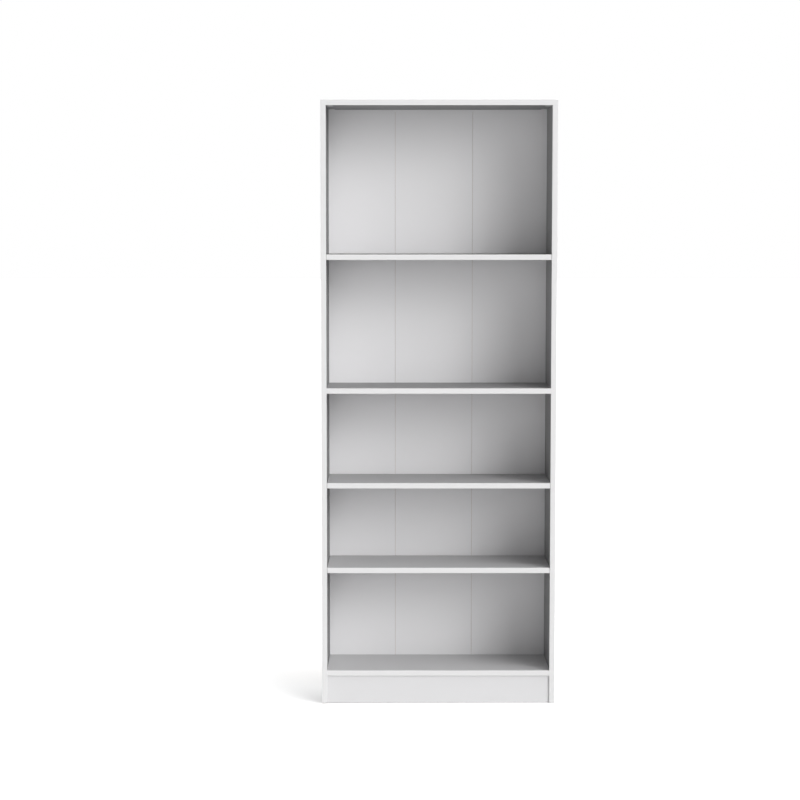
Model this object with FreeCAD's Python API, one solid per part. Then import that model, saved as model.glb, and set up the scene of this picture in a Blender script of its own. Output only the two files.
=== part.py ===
import FreeCAD, Part
import os

# A tall bookcase of white faced chipboard: two sides, top, bottom, plinth and a fixed
# middle shelf, held by connectors and dowels, with a folded hardboard back in grooves
# and three shelves that lift off their steel pins.
# Millimetres. X runs across the front, Y from the front to the back, Z up.
# The origin is on the floor, under the middle of the bookcase.

Vector = FreeCAD.Vector

# Overall size and boards
WIDTH = 789.0
DEPTH = 277.0
BOARD = 18.0
EDGING = 0.8
EDGING_ROUND = 0.5

# Heights follow a row of holes drilled every 32 mm
PITCH = 32.0
BOTTOM_UNDERSIDE = 96.0
LOWEST_STEP = 11
LOWER_STEP = 20
FIXED_STEP = 30
UPPER_STEP = 44
TOP_STEP = 60
DRILLED_STEPS = [*range(6, 25), *range(36, 55)]
FRONT_ROW_SETBACK = 37.0
REAR_ROW_SETBACK = 225.0
DOWEL_SETBACK = 131.0

# Back panel
INNER_DEPTH = 262.0
BACK = 3.0
BACK_TOP_CLEARANCE = 0.5
GROOVE_SIDE_DEPTH = 8.0
GROOVE_TOP_DEPTH = 7.0
GROOVE_CLEARANCE = 0.2
FOLDS_FROM_LEFT = (230.0, 497.0)
FOLD_GAP = 0.5
FOLD_CHAMFER = 0.6
TAPE_WIDTH = 40.0
TAPE = 0.2
TAPE_END_MARGIN = 8.0

# Adjustable shelves
SHELF_END_CLEARANCE = 1.0
SHELF_REAR_CLEARANCE = 2.0

# Plinth
PLINTH_SETBACK = 5.0
PLINTH_CAM_INSET = 24.0
PLINTH_CAM_RADIUS = 7.4
PLINTH_CAM_DEPTH = 12.5
PLINTH_DOWEL_FROM_MIDDLE = 24.0

# Shelf pins and their holes
HOLE_RADIUS = 2.5
HOLE_DEPTH = 12.0
PIN_ABOVE_UNDERSIDE = 8.0
PIN_SHANK_RADIUS = 2.45
PIN_SHANK = 8.0
PIN_HEAD_RADIUS = 3.5
PIN_HEAD = 7.0
PIN_CHAMFER = 0.6

# Sockets and connector housings, let into the boards from below
HOUSING_INSET = 13.0
HOUSING_RADIUS = 8.9
HOUSING_DEPTH = 14.0
HOUSING_NOSE_HALF = 5.4
RIM_RADIUS = 10.0
RIM = 1.0
SLOT_HALF = 3.9
SLOT_INSET = 20.0
SLOT_ROOF_CLEARANCE = 0.3
POCKET_CLEARANCE = 0.1

# Cams and connector bolts
CAM_RADIUS = 4.6
CAM_BORE_RADIUS = 4.8
CAM_TOP_CLEARANCE = 0.3
BOLT_THREAD = 11.0
BOLT_NECK_RADIUS = 2.0
BOLT_HEAD_RADIUS = 3.2
BOLT_HEAD = 3.0
BOLT_COLLAR_RADIUS = 3.6
BOLT_COLLAR = 1.0
CAM_ROOM = 0.3
CROSS_LENGTH = 5.0
CROSS_WIDTH = 1.0
CROSS_DEPTH = 2.5

# Dowels, nails and glides
DOWEL_RADIUS = 3.95
DOWEL_HOLE_RADIUS = 4.0
DOWEL_IN_SIDE = 10.0
DOWEL_IN_BOARD = 20.0
DOWEL_END_ROOM = 1.0
DOWEL_CHAMFER = 0.8
NAIL_RADIUS = 0.65
NAIL_HOLE_RADIUS = 0.75
NAIL_LENGTH = 22.0
NAIL_HEAD_RADIUS = 1.6
NAIL_HEAD = 0.7
NAIL_FROM_FOLD = 30.0
GLIDE = 2.0
GLIDE_RADIUS = 7.5
GLIDE_PEG_RADIUS = 1.9
GLIDE_PEG = 15.0
GLIDE_FROM_MIDDLE = 100.0
GLIDE_CHAMFER = 0.6

# Places worked out from those sizes
HALF = WIDTH / 2
INNER = HALF - BOARD
FRONT = -DEPTH / 2
REAR = DEPTH / 2
BACK_FRONT = FRONT + INNER_DEPTH
BACK_REAR = BACK_FRONT + BACK
SHELF_END = INNER - SHELF_END_CLEARANCE
HOUSING_X = INNER - HOUSING_INSET
ROWS = (FRONT + FRONT_ROW_SETBACK, FRONT + REAR_ROW_SETBACK)
DOWEL_ROW = FRONT + DOWEL_SETBACK
PLINTH_FRONT = FRONT + PLINTH_SETBACK
PLINTH_MIDDLE = PLINTH_FRONT + BOARD / 2
PLINTH_MIDDLE_HEIGHT = (GLIDE + BOTTOM_UNDERSIDE) / 2


def underside(step):
    """Height of the lower face of a board that stands on this hole step."""
    return BOTTOM_UNDERSIDE + step * PITCH


def hole_height(step):
    return underside(step) + PIN_ABOVE_UNDERSIDE


HEIGHT = underside(TOP_STEP) + BOARD
FIXED_STEPS = {"bottom_panel": 0, "fixed_shelf": FIXED_STEP, "top_panel": TOP_STEP}
SHELF_STEPS = {"lowest_shelf": LOWEST_STEP, "lower_shelf": LOWER_STEP, "upper_shelf": UPPER_STEP}


def block(x, y, z):
    """A box between two limits along each axis."""
    corner = Vector(x[0], y[0], z[0])
    return Part.makeBox(x[1] - x[0], y[1] - y[0], z[1] - z[0], corner)


def rod(radius, start, end):
    """A cylinder from one point to another."""
    start = Vector(*start)
    along = Vector(*end) - start
    return Part.makeCylinder(radius, along.Length, start, along)


def mirrored(shape):
    """The same shape on the left side of the bookcase."""
    return shape.mirror(Vector(0, 0, 0), Vector(1, 0, 0))


def both_sides(shapes):
    return [*shapes, *(mirrored(shape) for shape in shapes)]


def end_edges(shape, axis, place):
    """The edges that lie in the plane where axis has this value."""
    def lies_there(edge):
        return all(abs(getattr(vertex.Point, axis) - place) < 1e-6 for vertex in edge.Vertexes)
    return [edge for edge in shape.Edges if lies_there(edge)]


def save(node, *solids):
    """Writes one node: a single solid, or several alike as a group."""
    shape = solids[0] if len(solids) == 1 else Part.makeCompound(list(solids))
    shape.exportStep(f"parts/{node}.step")


# Boards


def dowel_hole(side_of_joint, y, z):
    """The hole for half a dowel across the joint at the side's inner face."""
    if side_of_joint == "side":
        reach = INNER + DOWEL_IN_SIDE + DOWEL_END_ROOM
    else:
        reach = INNER - DOWEL_IN_BOARD - DOWEL_END_ROOM
    return rod(DOWEL_HOLE_RADIUS, (INNER, y, z), (reach, y, z))


def plinth_dowel_heights():
    middle = PLINTH_MIDDLE_HEIGHT
    return (middle - PLINTH_DOWEL_FROM_MIDDLE, middle + PLINTH_DOWEL_FROM_MIDDLE)


def side_holes():
    """Every hole in the inner face and lower end of the right side panel."""
    steps = [*FIXED_STEPS.values(), *DRILLED_STEPS]
    places = [(y, hole_height(step)) for step in steps for y in ROWS]
    places.append((PLINTH_MIDDLE, PLINTH_MIDDLE_HEIGHT))
    holes = [rod(HOLE_RADIUS, (INNER, y, z), (INNER + HOLE_DEPTH, y, z)) for y, z in places]
    for step in FIXED_STEPS.values():
        holes.append(dowel_hole("side", DOWEL_ROW, underside(step) + BOARD / 2))
    for height in plinth_dowel_heights():
        holes.append(dowel_hole("side", PLINTH_MIDDLE, height))
    for glide in right_glide_places():
        peg_top = GLIDE + GLIDE_PEG + DOWEL_END_ROOM
        radius = GLIDE_PEG_RADIUS + POCKET_CLEARANCE
        holes.append(rod(radius, (*glide, GLIDE), (*glide, peg_top)))
    return holes


def side_panel():
    """The right side panel, behind its front and top edging."""
    board = block((INNER, HALF), (FRONT + EDGING, REAR), (GLIDE, HEIGHT - EDGING))
    groove = block(
        (INNER, INNER + GROOVE_SIDE_DEPTH),
        (BACK_FRONT - GROOVE_CLEARANCE, BACK_REAR + GROOVE_CLEARANCE),
        (GLIDE, underside(TOP_STEP) + GROOVE_TOP_DEPTH),
    )
    return board.cut([groove, *side_holes()])


def fixed_board(step, rear):
    """A board between the sides, with pockets for its housings and dowel holes."""
    low = underside(step)
    board = block((-INNER, INNER), (FRONT + EDGING, rear), (low, low + BOARD))
    cuts = [pocket(INNER, y, low) for y in ROWS]
    cuts.append(dowel_hole("board", DOWEL_ROW, low + BOARD / 2))
    return board.cut(both_sides(cuts))


def top_panel():
    low = underside(TOP_STEP)
    groove = block(
        (-INNER, INNER),
        (BACK_FRONT - GROOVE_CLEARANCE, BACK_REAR + GROOVE_CLEARANCE),
        (low, low + GROOVE_TOP_DEPTH),
    )
    return fixed_board(TOP_STEP, REAR).cut(groove)


def nailed_board(step):
    """A fixed board that ends at the back panel, with the nails driven into its rear edge."""
    holes = [nail_hole(x, step) for x in nail_places()]
    return fixed_board(step, BACK_FRONT).cut(holes)


def loose_shelf(step):
    """An adjustable shelf, with pockets for the sockets that drop over its pins."""
    low = underside(step)
    rear = BACK_FRONT - SHELF_REAR_CLEARANCE
    board = block((-SHELF_END, SHELF_END), (FRONT + EDGING, rear), (low, low + BOARD))
    return board.cut(both_sides([pocket(SHELF_END, y, low) for y in ROWS]))


def plinth_board():
    depth = (PLINTH_FRONT, PLINTH_FRONT + BOARD)
    board = block((-INNER, INNER), depth, (GLIDE, BOTTOM_UNDERSIDE))
    rear = PLINTH_FRONT + BOARD
    cam_x = INNER - PLINTH_CAM_INSET
    height = PLINTH_MIDDLE_HEIGHT
    bore_end = rear - PLINTH_CAM_DEPTH - POCKET_CLEARANCE
    bore_radius = PLINTH_CAM_RADIUS + POCKET_CLEARANCE
    bolt_radius = BOLT_HEAD_RADIUS + POCKET_CLEARANCE
    cuts = [dowel_hole("board", PLINTH_MIDDLE, z) for z in plinth_dowel_heights()]
    cuts.append(rod(bore_radius, (cam_x, rear, height), (cam_x, bore_end, height)))
    cuts.append(rod(bolt_radius, (INNER, PLINTH_MIDDLE, height), (cam_x, PLINTH_MIDDLE, height)))
    return board.cut(both_sides(cuts))


def front_edging(half_length, low):
    """The strip on the front edge of a horizontal board."""
    strip = block((-half_length, half_length), (FRONT, FRONT + EDGING), (low, low + BOARD))
    long_edges = [e for e in end_edges(strip, "y", FRONT) if e.Length > BOARD + 1]
    return strip.makeFillet(EDGING_ROUND, long_edges)


def side_front_edging():
    strip = block((INNER, HALF), (FRONT, FRONT + EDGING), (GLIDE, HEIGHT))
    return strip.makeFillet(EDGING_ROUND, end_edges(strip, "y", FRONT))


def side_top_edging():
    strip = block((INNER, HALF), (FRONT + EDGING, REAR), (HEIGHT - EDGING, HEIGHT))
    long_edges = [e for e in end_edges(strip, "x", HALF) if e.Length > BOARD]
    upper = [e for e in long_edges if e.Vertexes[0].Z > HEIGHT - EDGING / 2]
    return strip.makeFillet(EDGING_ROUND, upper)


# Back panel


def fold_places():
    return [-INNER + distance for distance in FOLDS_FROM_LEFT]


def back_leaf(index):
    """One leaf of the back, with the edges at its folds eased on the white side."""
    reach = INNER + GROOVE_SIDE_DEPTH - GROOVE_CLEARANCE
    folds = fold_places()
    lefts = [-reach, *(fold + FOLD_GAP / 2 for fold in folds)]
    rights = [*(fold - FOLD_GAP / 2 for fold in folds), reach]
    top = underside(TOP_STEP) + GROOVE_TOP_DEPTH - BACK_TOP_CLEARANCE
    left, right = lefts[index], rights[index]
    leaf = block((left, right), (BACK_FRONT, BACK_REAR), (BOTTOM_UNDERSIDE, top))
    at_front = end_edges(leaf, "y", BACK_FRONT)
    ends = [x for x in (left, right) if abs(x) < reach]
    eased = [e for e in at_front if any(abs(v.X - x) < 1e-6 for v in e.Vertexes[:1] for x in ends)]
    eased = [e for e in eased if abs(e.Vertexes[0].X - e.Vertexes[1].X) < 1e-6]
    leaf = leaf.makeChamfer(FOLD_CHAMFER, eased)
    holes = [nail_hole(x, step) for x in nail_places() for step in (0, FIXED_STEP)]
    return leaf.cut([hole for hole in holes if left < hole.BoundBox.Center.x < right])


def fold_tape(index):
    middle = fold_places()[index]
    low = BOTTOM_UNDERSIDE + TAPE_END_MARGIN
    high = underside(TOP_STEP) - TAPE_END_MARGIN
    width = (middle - TAPE_WIDTH / 2, middle + TAPE_WIDTH / 2)
    return block(width, (BACK_REAR, BACK_REAR + TAPE), (low, high))


def nail_places():
    """Three nails a leaf: near each of its sides and in the middle."""
    borders = [-INNER, *fold_places(), INNER]
    places = []
    for left, right in zip(borders, borders[1:]):
        places += [left + NAIL_FROM_FOLD, (left + right) / 2, right - NAIL_FROM_FOLD]
    return places


def nail_line(x, step):
    """The tip and the head end of a nail into the board on this step."""
    height = underside(step) + BOARD / 2
    return (x, BACK_REAR - NAIL_LENGTH, height), (x, BACK_REAR, height)


def nail_hole(x, step):
    return rod(NAIL_HOLE_RADIUS, *nail_line(x, step))


def nail(x, step):
    tip, neck = nail_line(x, step)
    head_end = (x, BACK_REAR + NAIL_HEAD, neck[2])
    return rod(NAIL_RADIUS, tip, neck).fuse(rod(NAIL_HEAD_RADIUS, neck, head_end))


# Sockets, housings and their fittings, drawn at the right end of a board


def keyhole(end, y, low, high, radius, half_width):
    """An upright cylinder joined to the board's end by a straight part."""
    round_part = rod(radius, (HOUSING_X, y, low), (HOUSING_X, y, high))
    straight = block((HOUSING_X, end), (y - half_width, y + half_width), (low, high))
    return round_part.fuse(straight)


def pocket(end, y, low):
    """What is milled out of a board for one housing."""
    radius = HOUSING_RADIUS + POCKET_CLEARANCE
    half_width = HOUSING_NOSE_HALF + POCKET_CLEARANCE
    return keyhole(end, y, low, low + HOUSING_DEPTH + POCKET_CLEARANCE, radius, half_width)


def slot(end, y, low):
    """The way in for a pin or a bolt: open below and at the board's end."""
    top = low + PIN_ABOVE_UNDERSIDE + PIN_HEAD_RADIUS + SLOT_ROOF_CLEARANCE
    inner_end = INNER - SLOT_INSET + SLOT_HALF
    width = (y - SLOT_HALF, y + SLOT_HALF)
    straight = block((inner_end, end + 1), width, (low - RIM, top))
    return straight.fuse(rod(SLOT_HALF, (inner_end, y, low - RIM), (inner_end, y, top)))


def socket(end, y, low):
    """A white plastic socket that drops over a shelf pin."""
    nose = end - SLOT_ROOF_CLEARANCE
    body = keyhole(nose, y, low, low + HOUSING_DEPTH, HOUSING_RADIUS, HOUSING_NOSE_HALF)
    rim = rod(RIM_RADIUS, (HOUSING_X, y, low - RIM), (HOUSING_X, y, low))
    return body.fuse(rim).cut(slot(end, y, low)).removeSplitter()


def connector_housing(y, low):
    """A socket with a bore for the cam that grips a bolt's head."""
    top = low + HOUSING_DEPTH - 2 * CAM_TOP_CLEARANCE
    bore = rod(CAM_BORE_RADIUS, (HOUSING_X, y, low - RIM), (HOUSING_X, y, top))
    return socket(INNER, y, low).cut(bore)


def cross_recess(y, low):
    """The screwdriver cross in the cam's lower face."""
    half, arm = CROSS_WIDTH / 2, CROSS_LENGTH / 2
    depth = (low - RIM, low - RIM + CROSS_DEPTH)
    along = block((HOUSING_X - arm, HOUSING_X + arm), (y - half, y + half), depth)
    across = block((HOUSING_X - half, HOUSING_X + half), (y - arm, y + arm), depth)
    return along.fuse(across)


def connector_cam(y, low):
    """A zinc cam with a pocket for the bolt's head and a narrower way for its neck."""
    top = low + HOUSING_DEPTH - 3 * CAM_TOP_CLEARANCE
    middle = low + PIN_ABOVE_UNDERSIDE
    cam = rod(CAM_RADIUS, (HOUSING_X, y, low - RIM / 2), (HOUSING_X, y, top))
    head_room = BOLT_HEAD_RADIUS + CAM_ROOM
    neck_room = BOLT_NECK_RADIUS + CAM_ROOM
    head_end = HOUSING_X + BOLT_HEAD / 2 + CAM_ROOM
    head_start = HOUSING_X - BOLT_HEAD / 2 - CAM_ROOM
    head_way = block(
        (head_start, head_end),
        (y - head_room, y + head_room),
        (middle - head_room, middle + head_room),
    )
    neck_way = block(
        (head_end, HOUSING_X + 2 * CAM_RADIUS),
        (y - neck_room, y + neck_room),
        (middle - neck_room, middle + neck_room),
    )
    return cam.cut([head_way, neck_way, cross_recess(y, low)])


def connector_bolt(y, z, head_x):
    """A steel bolt: thread in the side panel, collar on its face, neck and head inwards."""
    head_end = head_x + BOLT_HEAD / 2
    collar_end = INNER - BOLT_COLLAR
    thread = rod(PIN_SHANK_RADIUS, (INNER, y, z), (INNER + BOLT_THREAD, y, z))
    neck = rod(BOLT_NECK_RADIUS, (head_end, y, z), (INNER, y, z))
    head = rod(BOLT_HEAD_RADIUS, (head_x - BOLT_HEAD / 2, y, z), (head_end, y, z))
    collar = rod(min(BOLT_COLLAR_RADIUS, BOLT_HEAD_RADIUS), (collar_end, y, z), (INNER, y, z))
    return thread.fuse([neck, head, collar]).removeSplitter()


def plinth_cam():
    """A round zinc cam let into the rear face of the plinth board."""
    rear = PLINTH_FRONT + BOARD
    x, z = INNER - PLINTH_CAM_INSET, PLINTH_MIDDLE_HEIGHT
    cam = rod(PLINTH_CAM_RADIUS, (x, rear, z), (x, rear - PLINTH_CAM_DEPTH, z))
    room = BOLT_HEAD_RADIUS + CAM_ROOM
    depth = (PLINTH_MIDDLE - room, PLINTH_MIDDLE + room)
    bolt_way = block((x - BOLT_HEAD, x + 2 * PLINTH_CAM_RADIUS), depth, (z - room, z + room))
    half, arm = CROSS_WIDTH / 2, CROSS_LENGTH / 2
    recess = (rear - CROSS_DEPTH, rear)
    along = block((x - arm, x + arm), recess, (z - half, z + half))
    across = block((x - half, x + half), recess, (z - arm, z + arm))
    return cam.cut([bolt_way, along, across])


def dowel(y, z):
    """A beech dowel across the joint between the right side and a board."""
    shape = rod(DOWEL_RADIUS, (INNER - DOWEL_IN_BOARD, y, z), (INNER + DOWEL_IN_SIDE, y, z))
    return shape.makeChamfer(DOWEL_CHAMFER, [e for e in shape.Edges if e.Closed and len(e.Vertexes) == 1])


def shelf_pin(y, z):
    """A steel shelf pin: shank in the side panel's hole, head inside the shelf's socket."""
    shank = rod(PIN_SHANK_RADIUS, (INNER, y, z), (INNER + PIN_SHANK, y, z))
    head = rod(PIN_HEAD_RADIUS, (INNER - PIN_HEAD, y, z), (INNER, y, z))
    head = head.makeChamfer(PIN_CHAMFER, end_edges(head, "x", INNER - PIN_HEAD))
    shank = shank.makeChamfer(PIN_CHAMFER, end_edges(shank, "x", INNER + PIN_SHANK))
    return head.fuse(shank)


def right_glide_places():
    middle = (INNER + HALF) / 2
    return [(middle, -GLIDE_FROM_MIDDLE), (middle, GLIDE_FROM_MIDDLE)]


def glide(x, y):
    """A plastic glide knocked into the lower end of a side panel."""
    head = rod(GLIDE_RADIUS, (x, y, 0), (x, y, GLIDE))
    head = head.makeChamfer(GLIDE_CHAMFER, end_edges(head, "z", 0))
    return head.fuse(rod(GLIDE_PEG_RADIUS, (x, y, GLIDE), (x, y, GLIDE + GLIDE_PEG)))


# Nodes


def save_pair(name, shape):
    """A right piece and its mirror image on the left."""
    save(name.format("right"), shape)
    save(name.format("left"), mirrored(shape))


def save_sides():
    save_pair("side_panel_{}", side_panel())
    save_pair("side_front_edging_{}", side_front_edging())
    save_pair("side_top_edging_{}", side_top_edging())
    save("floor_glides", *both_sides([glide(x, y) for x, y in right_glide_places()]))


def save_fixed_boards():
    """The boards that hold the sides together, with their edging and fittings."""
    save("top_panel", top_panel())
    save("fixed_shelf", nailed_board(FIXED_STEP))
    save("bottom_panel", nailed_board(0))
    for name, step in FIXED_STEPS.items():
        low = underside(step)
        save(f"{name}_front_edging", front_edging(INNER, low))
        save(f"{name}_connector_housings", *both_sides([connector_housing(y, low) for y in ROWS]))
        save(f"{name}_connector_cams", *both_sides([connector_cam(y, low) for y in ROWS]))
        bolts = [connector_bolt(y, hole_height(step), HOUSING_X) for y in ROWS]
        save(f"{name}_connector_bolts", *both_sides(bolts))
        save(f"{name}_dowels", *both_sides([dowel(DOWEL_ROW, low + BOARD / 2)]))


def save_plinth():
    save("plinth_board", plinth_board())
    save("plinth_dowels", *both_sides([dowel(PLINTH_MIDDLE, z) for z in plinth_dowel_heights()]))
    bolt = connector_bolt(PLINTH_MIDDLE, PLINTH_MIDDLE_HEIGHT, INNER - PLINTH_CAM_INSET)
    save("plinth_connector_bolts", *both_sides([bolt]))
    save("plinth_connector_cams", *both_sides([plinth_cam()]))


def save_back():
    for index, name in enumerate(("left", "middle", "right")):
        save(f"back_leaf_{name}", back_leaf(index))
    for index, name in enumerate(("left", "right")):
        save(f"back_fold_tape_{name}", fold_tape(index))
    save("back_nails", *(nail(x, step) for x in nail_places() for step in (0, FIXED_STEP)))


def save_shelves():
    """Each adjustable shelf with its edging, sockets and four pins."""
    for name, step in SHELF_STEPS.items():
        low = underside(step)
        save(name, loose_shelf(step))
        save(f"{name}_front_edging", front_edging(SHELF_END, low))
        save(f"{name}_sockets", *both_sides([socket(SHELF_END, y, low) for y in ROWS]))
        for row, y in zip(("front", "rear"), ROWS):
            save_pair(f"{name}_pin_{row}_" + "{}", shelf_pin(y, hole_height(step)))


os.makedirs("parts", exist_ok=True)
save_sides()
save_fixed_boards()
save_plinth()
save_back()
save_shelves()
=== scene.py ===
import math

import bmesh
import bpy
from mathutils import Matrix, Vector


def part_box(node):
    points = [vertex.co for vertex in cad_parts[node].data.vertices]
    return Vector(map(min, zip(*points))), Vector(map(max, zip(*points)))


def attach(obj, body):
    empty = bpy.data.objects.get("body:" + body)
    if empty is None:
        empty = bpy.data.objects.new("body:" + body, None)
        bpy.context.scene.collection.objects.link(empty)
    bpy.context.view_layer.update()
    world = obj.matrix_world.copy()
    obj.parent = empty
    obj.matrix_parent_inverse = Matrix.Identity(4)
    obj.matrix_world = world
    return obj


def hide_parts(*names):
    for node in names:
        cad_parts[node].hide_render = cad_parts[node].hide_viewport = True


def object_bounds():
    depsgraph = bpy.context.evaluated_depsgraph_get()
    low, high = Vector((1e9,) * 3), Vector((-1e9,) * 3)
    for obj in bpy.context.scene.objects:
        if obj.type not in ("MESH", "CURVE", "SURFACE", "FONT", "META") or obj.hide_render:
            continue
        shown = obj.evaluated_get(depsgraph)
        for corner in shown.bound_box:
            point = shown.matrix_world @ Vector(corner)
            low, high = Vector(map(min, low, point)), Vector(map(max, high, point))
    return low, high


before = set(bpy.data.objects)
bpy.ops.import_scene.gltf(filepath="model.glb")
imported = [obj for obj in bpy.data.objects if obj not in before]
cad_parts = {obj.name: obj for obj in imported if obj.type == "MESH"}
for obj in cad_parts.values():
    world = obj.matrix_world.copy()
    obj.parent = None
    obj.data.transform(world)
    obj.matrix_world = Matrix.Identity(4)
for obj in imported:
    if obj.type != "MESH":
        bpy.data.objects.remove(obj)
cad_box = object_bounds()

# A tall white bookcase: melamine boards with plastic edging, a folded hardboard back,
# and three shelves that drop over steel pins. Metres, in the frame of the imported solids.

MM = 0.001
AXES = "XYZ"
# The back's lacquer wraps over the eased edges of its folds, this deep
FOLD_EASE = 1.8 * MM
BOARDS = {
    "side_panel_left": "X",
    "side_panel_right": "X",
    "top_panel": "Z",
    "fixed_shelf": "Z",
    "bottom_panel": "Z",
    "upper_shelf": "Z",
    "lower_shelf": "Z",
    "lowest_shelf": "Z",
    "plinth_board": "Y",
}
FIXED_BOARDS = ("top_panel", "fixed_shelf", "bottom_panel")
SHELVES = ("upper_shelf", "lower_shelf", "lowest_shelf")

# Sockets of the Mix node that blends two colours
MIX_FACTOR, MIX_A, MIX_B, MIX_RESULT = 0, 6, 7, 2

# Colours, linear
MELAMINE = (0.787, 0.784, 0.792)
MELAMINE_SHADE = (0.772, 0.769, 0.777)
CHIP_LIGHT = (0.56, 0.40, 0.24)
CHIP_MIDDLE = (0.36, 0.23, 0.12)
CHIP_DARK = (0.14, 0.075, 0.035)
LACQUER = (0.777, 0.773, 0.782)
LACQUER_SHADE = (0.762, 0.758, 0.767)
HARDBOARD = (0.30, 0.18, 0.095)
HARDBOARD_FIBRE = (0.17, 0.095, 0.045)
EDGING_WHITE = (0.783, 0.780, 0.783)
EDGING_SHADE = (0.768, 0.765, 0.768)
GLUE_LINE = (0.52, 0.49, 0.43)
MOULDED_WHITE = (0.78, 0.78, 0.77)
MOULDED_SHADE = (0.72, 0.72, 0.71)
GLIDE_WHITE = (0.68, 0.67, 0.64)
GLIDE_SHADE = (0.55, 0.54, 0.51)
ZINC = (0.66, 0.67, 0.69)
ZINC_BLUE = (0.56, 0.60, 0.67)
CAST_ZINC = (0.42, 0.42, 0.43)
CAST_ZINC_DARK = (0.28, 0.28, 0.29)
NAIL_STEEL = (0.50, 0.50, 0.52)
NAIL_STEEL_DARK = (0.36, 0.36, 0.38)
BEECH = (0.60, 0.40, 0.23)
BEECH_GRAIN = (0.42, 0.25, 0.13)
PAPER = (0.47, 0.32, 0.17)
PAPER_FIBRE = (0.36, 0.23, 0.11)

# A thin tinted coat over the white faces, which takes up more light at grazing angles
FILM_TINT = (0.925, 0.925, 0.925)
FILM_IOR = 1.0015
FILM_ROUGHNESS = 0.5

# Studio
FLOOR_WHITE = (0.86, 0.86, 0.86)
FLOOR_SIZE = 120.0
# To the camera the floor shows painted light, weakest at the bookcase's shaded foot, so that the cast
# shadow shows only near the foot and the rest of the floor ends in plain white
SHADED_FOOT = (-0.4, -0.09, 0.0)
FLOOR_PAINTED_LIGHT = ((0.0, 0.3), (0.2, 0.5), (0.8, 0.75))
# The camera stands at head height and looks down at a point on the bookcase's front plane
CAMERA_PLACE = (-0.13, -6.9, 1.6)
AIM_HEIGHT = 1.035
CAMERA_LENS = 91.0
SENSOR = 36.0
# Distant soft lamps, in degrees to the right of the front and degrees up, and their strengths
LAMP_SOFTNESS = 36.0
FRONT_LAMP_UP = 5.0
FRONT_STRENGTH = 0.35
KEY_BANK_ACROSS = (38.0, 56.0)
KEY_BANK_UP = (18.0, 32.0)
KEY_STRENGTH = 0.65
CEILING_ACROSS = (-60.0, 60.0)
CEILING_UP = 72.0
CEILING_STRENGTH = 0.4
REAR_LAMP_ACROSS = 215.0
REAR_LAMP_UP = 30.0
REAR_STRENGTH = 0.8
# The surroundings as a light, much weaker than the white that the camera sees
ROOM_LIGHT = 0.12


# Shader maths


class Value:
    """A node's output. Arithmetic on it adds Math nodes."""

    def __init__(self, finish, output):
        self.finish = finish
        self.output = output

    def maths(self, operation, first, second):
        return self.finish.node("Math", {"operation": operation}, {0: first, 1: second})

    def __add__(self, other):
        return self.maths("ADD", self, other)

    def __radd__(self, other):
        return self.maths("ADD", other, self)

    def __sub__(self, other):
        return self.maths("SUBTRACT", self, other)

    def __rsub__(self, other):
        return self.maths("SUBTRACT", other, self)

    def __mul__(self, other):
        return self.maths("MULTIPLY", self, other)

    def __rmul__(self, other):
        return self.maths("MULTIPLY", other, self)

    def above(self, limit):
        return self.maths("GREATER_THAN", self, limit)

    def below(self, limit):
        return self.maths("LESS_THAN", self, limit)


class Finish:
    """A procedural material that reads the piece's own object coordinates."""

    def __init__(self, name):
        self.material = bpy.data.materials.new(name)
        self.material.use_nodes = True
        self.tree = self.material.node_tree
        self.shader = self.tree.nodes["Principled BSDF"]
        self.place = self.node("TexCoord", {}, {}, "Object")

    def node(self, kind, settings, sockets, output=0):
        """Adds a node with its settings, then its sockets' values or links."""
        made = self.tree.nodes.new("ShaderNode" + kind)
        for name, setting in settings.items():
            if name == "stops":
                self.set_stops(made.color_ramp, setting)
            else:
                setattr(made, name, setting)
        for key, value in sockets.items():
            self.feed(made.inputs[key], value)
        return Value(self, made.outputs[output])

    def feed(self, socket, value):
        if isinstance(value, Value):
            self.tree.links.new(value.output, socket)
        elif isinstance(value, tuple) and len(value) == 3 and socket.type == "RGBA":
            socket.default_value = (*value, 1.0)
        else:
            socket.default_value = value

    @staticmethod
    def set_stops(ramp, stops):
        while len(ramp.elements) < len(stops):
            ramp.elements.new(1.0)
        for element, (position, colour) in zip(ramp.elements, stops):
            element.position = position
            element.color = (*colour, 1.0)

    def shader_value(self):
        return Value(self, self.shader.outputs[0])

    def surface(self, **sockets):
        """Feeds the shader's own sockets, named with underscores for spaces."""
        for name, value in sockets.items():
            self.feed(self.shader.inputs[name.replace("_", " ")], value)

    def film(self, weight):
        """A dull resin film over the surface."""
        self.surface(
            Coat_Weight=weight,
            Coat_IOR=FILM_IOR,
            Coat_Roughness=FILM_ROUGHNESS,
            Coat_Tint=FILM_TINT,
        )

    def along(self, axis):
        """The object coordinate along X, Y or Z."""
        return self.node("SeparateXYZ", {}, {0: self.place}, axis)

    def stretched(self, scale):
        """The object coordinates scaled by a different amount along each axis."""
        return self.node("Mapping", {}, {"Vector": self.place, "Scale": scale})

    def noise(self, scale, detail=2.0, roughness=0.5, place=None):
        sockets = {
            "Vector": place or self.place,
            "Scale": scale,
            "Detail": detail,
            "Roughness": roughness,
        }
        return self.node("TexNoise", {}, sockets, "Fac")

    def mix(self, factor, first, second):
        sockets = {MIX_FACTOR: factor, MIX_A: first, MIX_B: second}
        settings = {"data_type": "RGBA"}
        return self.node("Mix", settings, sockets, MIX_RESULT)

    def ramp(self, factor, stops):
        return self.node("ValToRGB", {"stops": stops}, {"Fac": factor}, "Color")

    def bump(self, height, distance, strength=1.0):
        sockets = {"Height": height, "Distance": distance, "Strength": strength}
        return self.node("Bump", {}, sockets, "Normal")


def contrast(value, low, high):
    """Spreads the middle of a noise out to between two values."""
    return value * (2.0 * (high - low)) + (low - 0.5 * (high - low))


# Finishes


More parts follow.
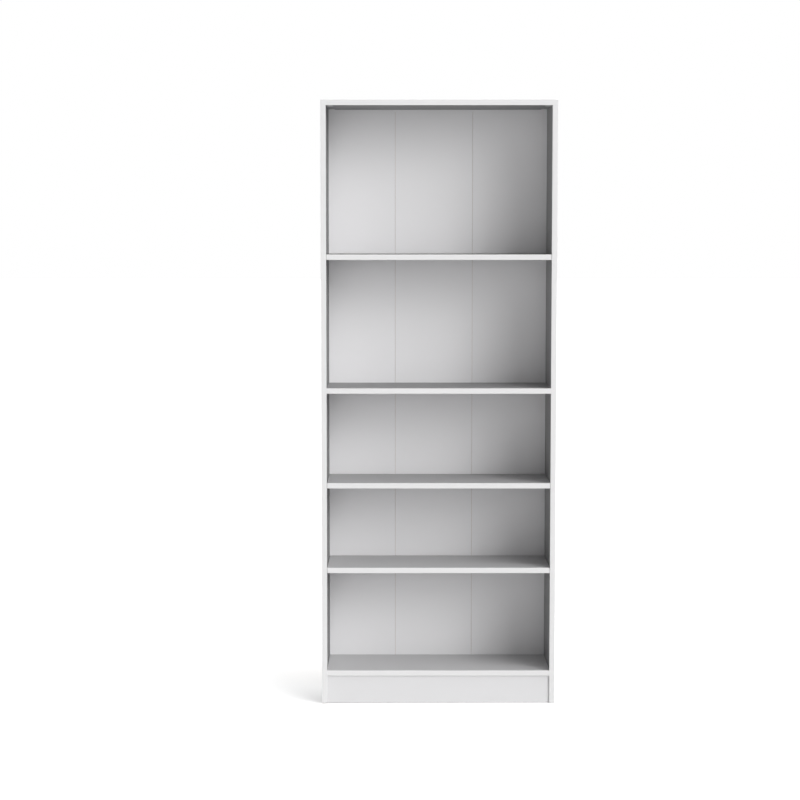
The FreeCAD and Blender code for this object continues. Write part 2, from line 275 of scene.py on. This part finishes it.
def chipboard(finish, thin_axis):
    """Raw chipboard, its chips lying flat in the board. Returns colour and height."""
    scale = [1.0, 1.0, 1.0]
    scale[AXES.index(thin_axis)] = 2.6
    flat = finish.stretched(tuple(scale))
    chips = finish.node("TexVoronoi", {}, {"Vector": flat, "Scale": 420.0}, "Color")
    shade = finish.node("SeparateColor", {}, {0: chips}, "Red")
    crumbs = finish.noise(1500.0, 3.0, 0.6, flat)
    stops = ((0.12, CHIP_DARK), (0.42, CHIP_MIDDLE), (0.8, CHIP_LIGHT))
    colour = finish.ramp(0.6 * shade + 0.4 * crumbs, stops)
    return colour, 0.5 * shade + 0.5 * crumbs


def faces_mask(finish, axis, low, high):
    """1 on a board's two broad faces and 0 on its edges and inside its holes."""
    skin = 0.05 * MM
    along = finish.along(axis)
    return along.below(low + skin) + along.above(high - skin)


def melamine_board(name, axis):
    """White melamine on the broad faces and raw chipboard wherever the board is cut."""
    low, high = (corner[AXES.index(axis)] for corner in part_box(name))
    finish = Finish(f"{name}_melamine")
    faced = faces_mask(finish, axis, low, high)
    core, core_height = chipboard(finish, axis)
    clouds = finish.noise(7.0, 2.0)
    pearl = finish.noise(950.0, 2.0, 0.55)
    white = finish.mix(clouds, MELAMINE_SHADE, MELAMINE)
    white_roughness = contrast(pearl, 0.38, 0.46)
    finish.surface(
        Base_Color=finish.mix(faced, core, white),
        Roughness=faced * white_roughness + (1.0 - faced) * 0.9,
        Normal=finish.bump(faced * (0.02 * pearl) + (1.0 - faced) * core_height, 0.25 * MM),
        Specular_IOR_Level=0.25,
    )
    finish.film(faced)
    return finish.material


def back_hardboard(name):
    """White lacquer on the front and brown hardboard with lying fibres behind."""
    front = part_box(name)[0].y
    finish = Finish(f"{name}_hardboard")
    lacquered = finish.along("Y").below(front + FOLD_EASE)
    clouds = finish.noise(5.0, 2.0)
    grain = finish.noise(800.0, 2.0, 0.5)
    white = finish.mix(clouds, LACQUER_SHADE, LACQUER)
    fibres = finish.noise(90.0, 6.0, 0.7, finish.stretched((3.0, 1.0, 0.7)))
    specks = finish.noise(1400.0, 3.0, 0.7)
    brown = finish.mix(contrast(0.6 * fibres + 0.4 * specks, 0.0, 1.0), HARDBOARD_FIBRE, HARDBOARD)
    finish.surface(
        Base_Color=finish.mix(lacquered, brown, white),
        Roughness=lacquered * contrast(grain, 0.46, 0.54) + (1.0 - lacquered) * 0.8,
        Normal=finish.bump(lacquered * (0.03 * grain) + (1.0 - lacquered) * specks, 0.12 * MM),
        Specular_IOR_Level=0.25,
    )
    finish.film(lacquered)
    return finish.material


def edging_plastic(name, axis, glued_face):
    """Satin white edging with a thin line of glue next to the board."""
    finish = Finish(f"{name}_plastic")
    along = finish.along(axis)
    glue_line = 0.06 * MM
    if axis == "Y":
        glued = along.above(glued_face - glue_line)
    else:
        glued = along.below(glued_face + glue_line)
    ripple = finish.noise(500.0, 2.0, 0.5)
    clouds = finish.noise(9.0, 1.0)
    white = finish.mix(clouds, EDGING_SHADE, EDGING_WHITE)
    finish.surface(
        Base_Color=finish.mix(glued, white, GLUE_LINE),
        Roughness=contrast(ripple, 0.30, 0.38),
        Normal=finish.bump(ripple, 0.01 * MM),
        Specular_IOR_Level=0.3,
    )
    return finish.material


def moulded_plastic(name, colour, shade):
    """Injection-moulded plastic with a spark-eroded skin and slight flow marks."""
    finish = Finish(name)
    skin = finish.noise(3500.0, 2.0, 0.6)
    flow = finish.noise(160.0, 3.0, 0.5, finish.stretched((1.0, 1.0, 0.3)))
    finish.surface(
        Base_Color=finish.mix(flow, shade, colour),
        Roughness=contrast(skin, 0.32, 0.46),
        Normal=finish.bump(0.8 * skin + 0.2 * flow, 0.03 * MM),
    )
    return finish.material


def bright_metal(name, colour, shade, roughness, turned_axis=None):
    """Plated or cast metal with fine marks, drawn out round an axis if it was turned."""
    finish = Finish(name)
    scale = [1.0, 1.0, 1.0]
    if turned_axis:
        scale[AXES.index(turned_axis)] = 9.0
    marks = finish.noise(700.0, 4.0, 0.6, finish.stretched(tuple(scale)))
    patches = finish.noise(220.0, 2.0, 0.5)
    finish.surface(
        Base_Color=finish.mix(patches, shade, colour),
        Metallic=1.0,
        Roughness=contrast(marks, roughness - 0.07, roughness + 0.07),
        Normal=finish.bump(marks, 0.012 * MM),
    )
    return finish.material


def fluted_beech(name):
    """Beech with fine grain along X."""
    finish = Finish(name)
    grain = finish.noise(500.0, 5.0, 0.6, finish.stretched((0.06, 1.0, 1.0)))
    flecks = finish.noise(900.0, 3.0, 0.6, finish.stretched((0.3, 1.0, 1.0)))
    finish.surface(
        Base_Color=finish.mix(contrast(0.6 * grain + 0.4 * flecks, 0.0, 1.0), BEECH_GRAIN, BEECH),
        Roughness=contrast(flecks, 0.55, 0.7),
        Normal=finish.bump(grain, 0.08 * MM),
    )
    return finish.material


def paper_tape(name):
    """Gummed brown paper with fibres and a slight pucker from drying."""
    finish = Finish(name)
    fibres = finish.noise(420.0, 5.0, 0.7, finish.stretched((2.2, 1.0, 0.8)))
    pucker = finish.noise(26.0, 2.0, 0.5, finish.stretched((1.0, 1.0, 0.5)))
    finish.surface(
        Base_Color=finish.mix(contrast(0.7 * fibres + 0.3 * pucker, 0.0, 1.0), PAPER_FIBRE, PAPER),
        Roughness=contrast(fibres, 0.66, 0.82),
        Normal=finish.bump(0.1 * fibres + 0.9 * pucker, 0.5 * MM),
    )
    return finish.material


def studio_floor_with_painted_light():
    """Matt white, with painted light that only the camera meets; it washes out the cast shadow except
    near the shaded foot.
    """
    finish = Finish("studio_floor_with_painted_light")
    finish.surface(Base_Color=FLOOR_WHITE, Roughness=1.0, Specular_IOR_Level=0.0)
    away = {0: finish.place, 1: SHADED_FOOT}
    distance = finish.node("VectorMath", {"operation": "DISTANCE"}, away, "Value")
    stops = [(metres, (painted_light, painted_light, painted_light)) for metres, painted_light in FLOOR_PAINTED_LIGHT]
    # Painted light: a glow, weakest near the foot, that hides the bookcase's cast shadow on the rest
    # of the floor
    painted_light = finish.node("Emission", {}, {"Color": finish.ramp(distance, stops), "Strength": 1.0})
    floor_with_painted_light = finish.node("AddShader", {}, {0: finish.shader_value(), 1: painted_light})
    seen = finish.node("LightPath", {}, {}, "Is Camera Ray")
    shown = finish.node("MixShader", {}, {0: seen, 1: finish.shader_value(), 2: floor_with_painted_light})
    finish.feed(finish.tree.nodes["Material Output"].inputs["Surface"], shown)
    return finish.material


# Pieces made here


def new_piece(name, mesh_work, node, body, finish):
    """Makes a piece from a bmesh, in place of one CAD node."""
    mesh = bpy.data.meshes.new(name)
    mesh_work.to_mesh(mesh)
    mesh_work.free()
    piece = bpy.data.objects.new(name, mesh)
    bpy.context.scene.collection.objects.link(piece)
    mesh.materials.append(finish)
    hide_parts(node)
    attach(piece, body)
    return piece


def turn(mesh_work, outline, centre, axis, segments=32):
    """Turns an outline of (along, radius) steps about an axis through a centre."""
    side = Vector((0.0, 0.0, 1.0)) if abs(axis.z) < 0.5 else Vector((1.0, 0.0, 0.0))
    corners = [mesh_work.verts.new(centre + axis * a + side * r) for a, r in outline]
    edges = [mesh_work.edges.new(pair) for pair in zip(corners, corners[1:])]
    bmesh.ops.spin(
        mesh_work,
        geom=corners + edges,
        cent=centre,
        axis=axis,
        angle=2.0 * math.pi,
        steps=segments,
        use_merge=True,
    )


def finish_mesh(mesh_work):
    """Closes poles and seams and turns every face outwards."""
    bmesh.ops.remove_doubles(mesh_work, verts=mesh_work.verts, dist=0.001 * MM)
    bmesh.ops.recalc_face_normals(mesh_work, faces=mesh_work.faces)


def arc_steps(centre_along, centre_radius, size, start, stop, count):
    """Points of a round corner in an outline, by angle in degrees."""
    steps = []
    for index in range(count + 1):
        angle = math.radians(start + (stop - start) * index / count)
        steps.append((centre_along + size * math.cos(angle), centre_radius + size * math.sin(angle)))
    return steps


def shade_smooth(piece, angle=35.0):
    """Smooth shading with the edges sharper than this angle kept."""
    mesh = piece.data
    mesh.shade_smooth()
    mesh.set_sharp_from_angle(angle=math.radians(angle))


def shelf_pin(node, finish):
    """A turned steel pin: ribbed shank in the panel, domed head in the shelf's socket."""
    low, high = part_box(node)
    inwards = 1.0 if low.x < 0.0 else -1.0
    axis = Vector((inwards, 0.0, 0.0))
    shank_end = low.x if inwards > 0.0 else high.x
    centre = Vector((shank_end, (low.y + high.y) / 2, (low.z + high.z) / 2))
    length = high.x - low.x
    head_radius = (high.z - low.z) / 2
    shoulder = length - 2 * head_radius
    shank_radius = 2.45 * MM
    outline = [(0.0, 0.0), (0.0, shank_radius - 0.6 * MM), (0.6 * MM, shank_radius)]
    rib = 1.2 * MM
    for index in range(5):
        start = (1.2 + 1.2 * index) * MM
        groove = shank_radius - 0.18 * MM
        outline += [(start, shank_radius), (start + 0.25 * rib, groove), (start + 0.5 * rib, groove)]
        outline += [(start + 0.75 * rib, shank_radius)]
    outline += [(shoulder, shank_radius), (shoulder, head_radius - 0.25 * MM)]
    outline += arc_steps(shoulder + 0.25 * MM, head_radius - 0.25 * MM, 0.25 * MM, 180.0, 90.0, 3)
    neck = head_radius - 0.3 * MM
    outline += [(shoulder + 1.6 * MM, head_radius), (shoulder + 1.8 * MM, neck)]
    outline += [(shoulder + 2.2 * MM, neck), (shoulder + 2.4 * MM, head_radius)]
    outline += arc_steps(length - 0.9 * MM, head_radius - 0.9 * MM, 0.9 * MM, 90.0, 0.0, 5)
    outline += [(length, 0.0)]
    work = bmesh.new()
    turn(work, outline, centre, axis)
    finish_mesh(work)
    piece = new_piece(f"{node}_turned", work, node, node, finish)
    shade_smooth(piece)


def eased_copy(node, body, finish, width, segments=2):
    """A moulded or cast piece: the solid's own shape with its edges rounded over."""
    work = bmesh.new()
    work.from_mesh(bpy.data.objects[node].data)
    bmesh.ops.remove_doubles(work, verts=work.verts, dist=0.001 * MM)
    bmesh.ops.dissolve_limit(work, angle_limit=math.radians(1.0), verts=work.verts, edges=work.edges)
    sharp = [
        edge for edge in work.edges
        if len(edge.link_faces) == 2 and edge.calc_face_angle() > math.radians(40.0)
    ]
    bmesh.ops.bevel(
        work,
        geom=sharp,
        offset=width,
        offset_type="OFFSET",
        segments=segments,
        profile=0.5,
        affect="EDGES",
        material=-1,
        clamp_overlap=True,
    )
    bmesh.ops.triangulate(work, faces=[face for face in work.faces if len(face.verts) > 4])
    piece = new_piece(f"{node}_eased", work, node, body, finish)
    shade_smooth(piece)
    return piece


def back_nails(finish):
    """Nails with slightly domed heads, on the back's rear face."""
    low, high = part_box("back_nails")
    head, head_radius, shank_radius = 0.7 * MM, 1.6 * MM, 0.65 * MM
    leaves = [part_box(f"back_leaf_{name}") for name in ("left", "middle", "right")]
    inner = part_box("side_panel_right")[0].x
    borders = [-inner, leaves[1][0].x, leaves[2][0].x, inner]
    from_fold = 30.0 * MM
    work = bmesh.new()
    for z in (low.z + head_radius, high.z - head_radius):
        for left, right in zip(borders, borders[1:]):
            for x in (left + from_fold, (left + right) / 2, right - from_fold):
                outline = [(0.0, 0.0), (1.5 * MM, shank_radius), (high.y - low.y - head, shank_radius)]
                outline += [(high.y - low.y - head, head_radius - 0.1 * MM)]
                outline += [(high.y - low.y - 0.6 * head, head_radius)]
                outline += [(high.y - low.y - 0.25 * head, 0.8 * head_radius), (high.y - low.y, 0.0)]
                turn(work, outline, Vector((x, low.y, z)), Vector((0.0, 1.0, 0.0)), 16)
    finish_mesh(work)
    piece = new_piece("back_nails_domed", work, "back_nails", "carcass", finish)
    shade_smooth(piece)


def floor_glides(finish):
    """Knock-in glides with a rounded sole."""
    low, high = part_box("floor_glides")
    thickness, radius, peg = 2.0 * MM, 7.5 * MM, 1.9 * MM
    ease = 0.9 * MM
    work = bmesh.new()
    for x in (low.x + radius, high.x - radius):
        for y in (low.y + radius, high.y - radius):
            outline = [(0.0, 0.0), (0.0, radius - ease)]
            outline += arc_steps(ease, radius - ease, ease, 180.0, 90.0, 4)
            outline += [(thickness, radius), (thickness, peg), (high.z - 1.0 * MM, peg), (high.z, 0.0)]
            turn(work, outline, Vector((x, y, low.z)), Vector((0.0, 0.0, 1.0)))
    finish_mesh(work)
    piece = new_piece("floor_glides_moulded", work, "floor_glides", "carcass", finish)
    shade_smooth(piece)


# Dressing


def dress(node, finish):
    """Gives a CAD node its finish."""
    slots = bpy.data.objects[node].material_slots
    for slot in slots:
        slot.material = finish


def dress_boards():
    for name, axis in BOARDS.items():
        dress(name, melamine_board(name, axis))
    for side in ("left", "middle", "right"):
        dress(f"back_leaf_{side}", back_hardboard(f"back_leaf_{side}"))
    tape = paper_tape("fold_tape_paper")
    dress("back_fold_tape_left", tape)
    dress("back_fold_tape_right", tape)


def dress_edging():
    for board in (*FIXED_BOARDS, *SHELVES):
        node = f"{board}_front_edging"
        dress(node, edging_plastic(node, "Y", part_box(node)[1].y))
    for side in ("left", "right"):
        front, top = f"side_front_edging_{side}", f"side_top_edging_{side}"
        dress(front, edging_plastic(front, "Y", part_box(front)[1].y))
        dress(top, edging_plastic(top, "Z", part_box(top)[0].z))


def dress_fittings():
    """Sockets, housings, cams, bolts, dowels, pins, nails and glides."""
    white = moulded_plastic("socket_plastic", MOULDED_WHITE, MOULDED_SHADE)
    zinc = bright_metal("zinc_plating", ZINC, ZINC_BLUE, 0.28, "X")
    cast = bright_metal("cast_zinc", CAST_ZINC, CAST_ZINC_DARK, 0.45)
    beech = fluted_beech("dowel_beech")
    for board in FIXED_BOARDS:
        housings = f"{board}_connector_housings"
        eased_copy(housings, "carcass", white, 0.25 * MM)
        eased_copy(f"{board}_connector_cams", "carcass", cast, 0.15 * MM)
        dress(f"{board}_connector_bolts", zinc)
        dress(f"{board}_dowels", beech)
    for shelf in SHELVES:
        eased_copy(f"{shelf}_sockets", shelf, white, 0.25 * MM)
        for row in ("front", "rear"):
            for side in ("left", "right"):
                shelf_pin(f"{shelf}_pin_{row}_{side}", zinc)
    eased_copy("plinth_connector_cams", "carcass", cast, 0.2 * MM)
    dress("plinth_connector_bolts", zinc)
    dress("plinth_dowels", beech)
    back_nails(bright_metal("nail_steel", NAIL_STEEL, NAIL_STEEL_DARK, 0.35))
    floor_glides(moulded_plastic("glide_plastic", GLIDE_WHITE, GLIDE_SHADE))


# Studio


def studio_floor():
    work = bmesh.new()
    bmesh.ops.create_grid(work, x_segments=1, y_segments=1, size=FLOOR_SIZE / 2)
    mesh = bpy.data.meshes.new("studio_floor")
    work.to_mesh(mesh)
    work.free()
    floor = bpy.data.objects.new("studio_floor", mesh)
    bpy.context.scene.collection.objects.link(floor)
    mesh.materials.append(studio_floor_with_painted_light())


def lamp(name, azimuth, elevation, strength):
    """A distant soft lamp seen from the bookcase in this direction."""
    light = bpy.data.lights.new(name, "SUN")
    light.energy = strength
    light.angle = math.radians(LAMP_SOFTNESS)
    across, up = math.radians(azimuth), math.radians(elevation)
    towards = Vector((
        math.sin(across) * math.cos(up),
        -math.cos(across) * math.cos(up),
        math.sin(up),
    ))
    holder = bpy.data.objects.new(name, light)
    holder.rotation_mode = "QUATERNION"
    holder.rotation_quaternion = towards.to_track_quat("Z", "Y")
    bpy.context.scene.collection.objects.link(holder)


def studio_lamps():
    """A bank of four key lamps to the right, with weaker light from the front, above and behind."""
    lamp("front_lamp", 0.0, FRONT_LAMP_UP, FRONT_STRENGTH)
    for across in KEY_BANK_ACROSS:
        for up in KEY_BANK_UP:
            lamp("key_lamp", across, up, KEY_STRENGTH)
    for across in CEILING_ACROSS:
        lamp("ceiling_lamp", across, CEILING_UP, CEILING_STRENGTH)
    lamp("rear_lamp", REAR_LAMP_ACROSS, REAR_LAMP_UP, REAR_STRENGTH)


def studio_room():
    """Even white surroundings: plain white to look at, and softer as a light."""
    world = bpy.data.worlds.new("studio_room")
    bpy.context.scene.world = world
    world.use_nodes = True
    tree = world.node_tree
    shown = tree.nodes["Background"]
    shown.inputs["Color"].default_value = (1.0, 1.0, 1.0, 1.0)
    lighting = tree.nodes.new("ShaderNodeBackground")
    lighting.inputs["Color"].default_value = (1.0, 1.0, 1.0, 1.0)
    lighting.inputs["Strength"].default_value = ROOM_LIGHT
    path = tree.nodes.new("ShaderNodeLightPath")
    choice = tree.nodes.new("ShaderNodeMixShader")
    tree.links.new(path.outputs["Is Camera Ray"], choice.inputs[0])
    tree.links.new(lighting.outputs[0], choice.inputs[1])
    tree.links.new(shown.outputs[0], choice.inputs[2])
    tree.links.new(choice.outputs[0], tree.nodes["World Output"].inputs["Surface"])


def studio_camera():
    data = bpy.data.cameras.new("camera")
    data.lens = CAMERA_LENS
    data.sensor_width = SENSOR
    camera = bpy.data.objects.new("camera", data)
    camera.location = CAMERA_PLACE
    _, stand, height = CAMERA_PLACE
    front = cad_box[0][1]
    downwards = math.atan2(height - AIM_HEIGHT, front - stand)
    camera.rotation_euler = (math.radians(90.0) - downwards, 0.0, 0.0)
    bpy.context.scene.collection.objects.link(camera)
    bpy.context.scene.camera = camera


def studio():
    studio_floor()
    studio_room()
    studio_camera()
    studio_lamps()
    bpy.context.scene.view_settings.view_transform = "Standard"


dress_boards()
dress_edging()
dress_fittings()
studio()
